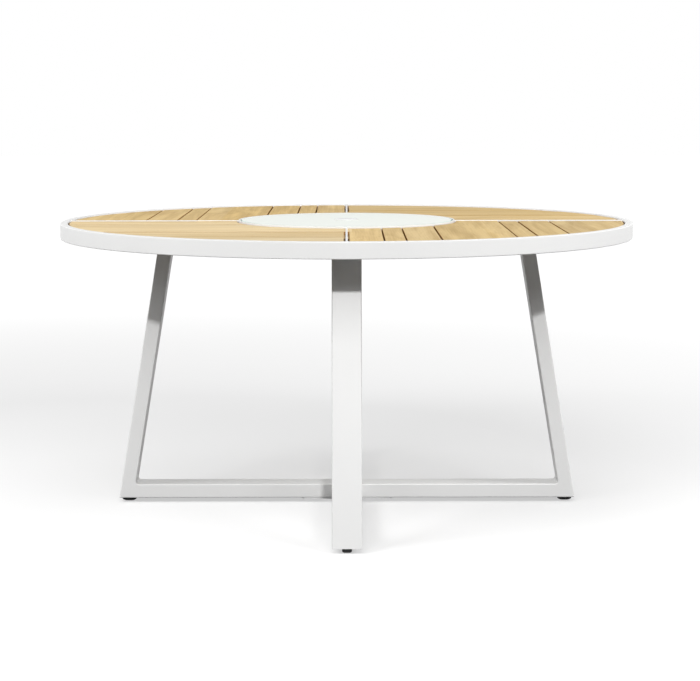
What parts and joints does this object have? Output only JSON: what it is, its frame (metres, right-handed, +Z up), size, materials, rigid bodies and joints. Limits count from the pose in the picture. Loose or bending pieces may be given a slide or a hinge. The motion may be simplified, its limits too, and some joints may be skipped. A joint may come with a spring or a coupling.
{
  "type": "round outdoor dining table",
  "caption": "Round outdoor dining table with a slatted wood top in a metal rim, a turning glass centre and a base of two crossed leg frames.",
  "frame": {"origin": "centre of the table on the floor, under the hub", "axes": "+Z up, -Y towards the front, +X right; the two leg frames lie along X and Y"},
  "size_m": [1.5, 1.4999, 0.759],
  "materials": {
    "powder_coat": "white satin powder coat on aluminium",
    "teak": "light sanded teak",
    "white_glass": "toughened glass, white coated underneath",
    "bare_aluminium": "mill finish",
    "stainless": "bright",
    "clear_rubber": "soft",
    "nylon": "matt",
    "black_plastic": "matt"
  },
  "bodies": {
    "table": {"rim_ring": "powder_coat", "rim_ledge": "powder_coat", "centre_ring": "powder_coat", "cross_bar_long": "powder_coat", "cross_bar_front": "powder_coat", "cross_bar_back": "powder_coat", "divider_strips": "powder_coat", "leg_plates": "powder_coat", "joining_plate": "powder_coat", "rail_long": "powder_coat", "rail_front": "powder_coat", "rail_back": "powder_coat", "leg_right": "powder_coat", "leg_back": "powder_coat", "leg_left": "powder_coat", "leg_front": "powder_coat", "plank_front_right_1": "teak", "plank_front_right_2": "teak", "plank_front_right_3": "teak", "plank_front_right_4": "teak", "plank_front_right_5": "teak", "plank_front_right_6": "teak", "plank_front_right_7": "teak", "plank_front_left_1": "teak", "plank_front_left_2": "teak", "plank_front_left_3": "teak", "plank_front_left_4": "teak", "plank_front_left_5": "teak", "plank_front_left_6": "teak", "plank_front_left_7": "teak", "plank_back_left_1": "teak", "plank_back_left_2": "teak", "plank_back_left_3": "teak", "plank_back_left_4": "teak", "plank_back_left_5": "teak", "plank_back_left_6": "teak", "plank_back_left_7": "teak", "plank_back_right_1": "teak", "plank_back_right_2": "teak", "plank_back_right_3": "teak", "plank_back_right_4": "teak", "plank_back_right_5": "teak", "plank_back_right_6": "teak", "plank_back_right_7": "teak", "plank_battens": "bare_aluminium", "plank_screws": "stainless", "bearing_lower_race": "bare_aluminium", "bearing_balls": "stainless", "race_screws": "stainless", "frame_bolts": "stainless", "foot_right": "black_plastic", "foot_back": "black_plastic", "foot_left": "black_plastic", "foot_front": "black_plastic"},
    "turntable": {"glass_disc": "white_glass", "glass_pads": "clear_rubber", "glass_bush": "nylon", "hub_cap": "powder_coat", "hub_bolt": "stainless", "bearing_upper_race": "bare_aluminium"}
  },
  "joints": [
    {"name": "turntable_spin", "type": "hinge", "parent": "table", "child": "turntable", "pos_m": [0, 0, 0.749], "axis": [0, 0, 1], "continuous": true}
  ]
}
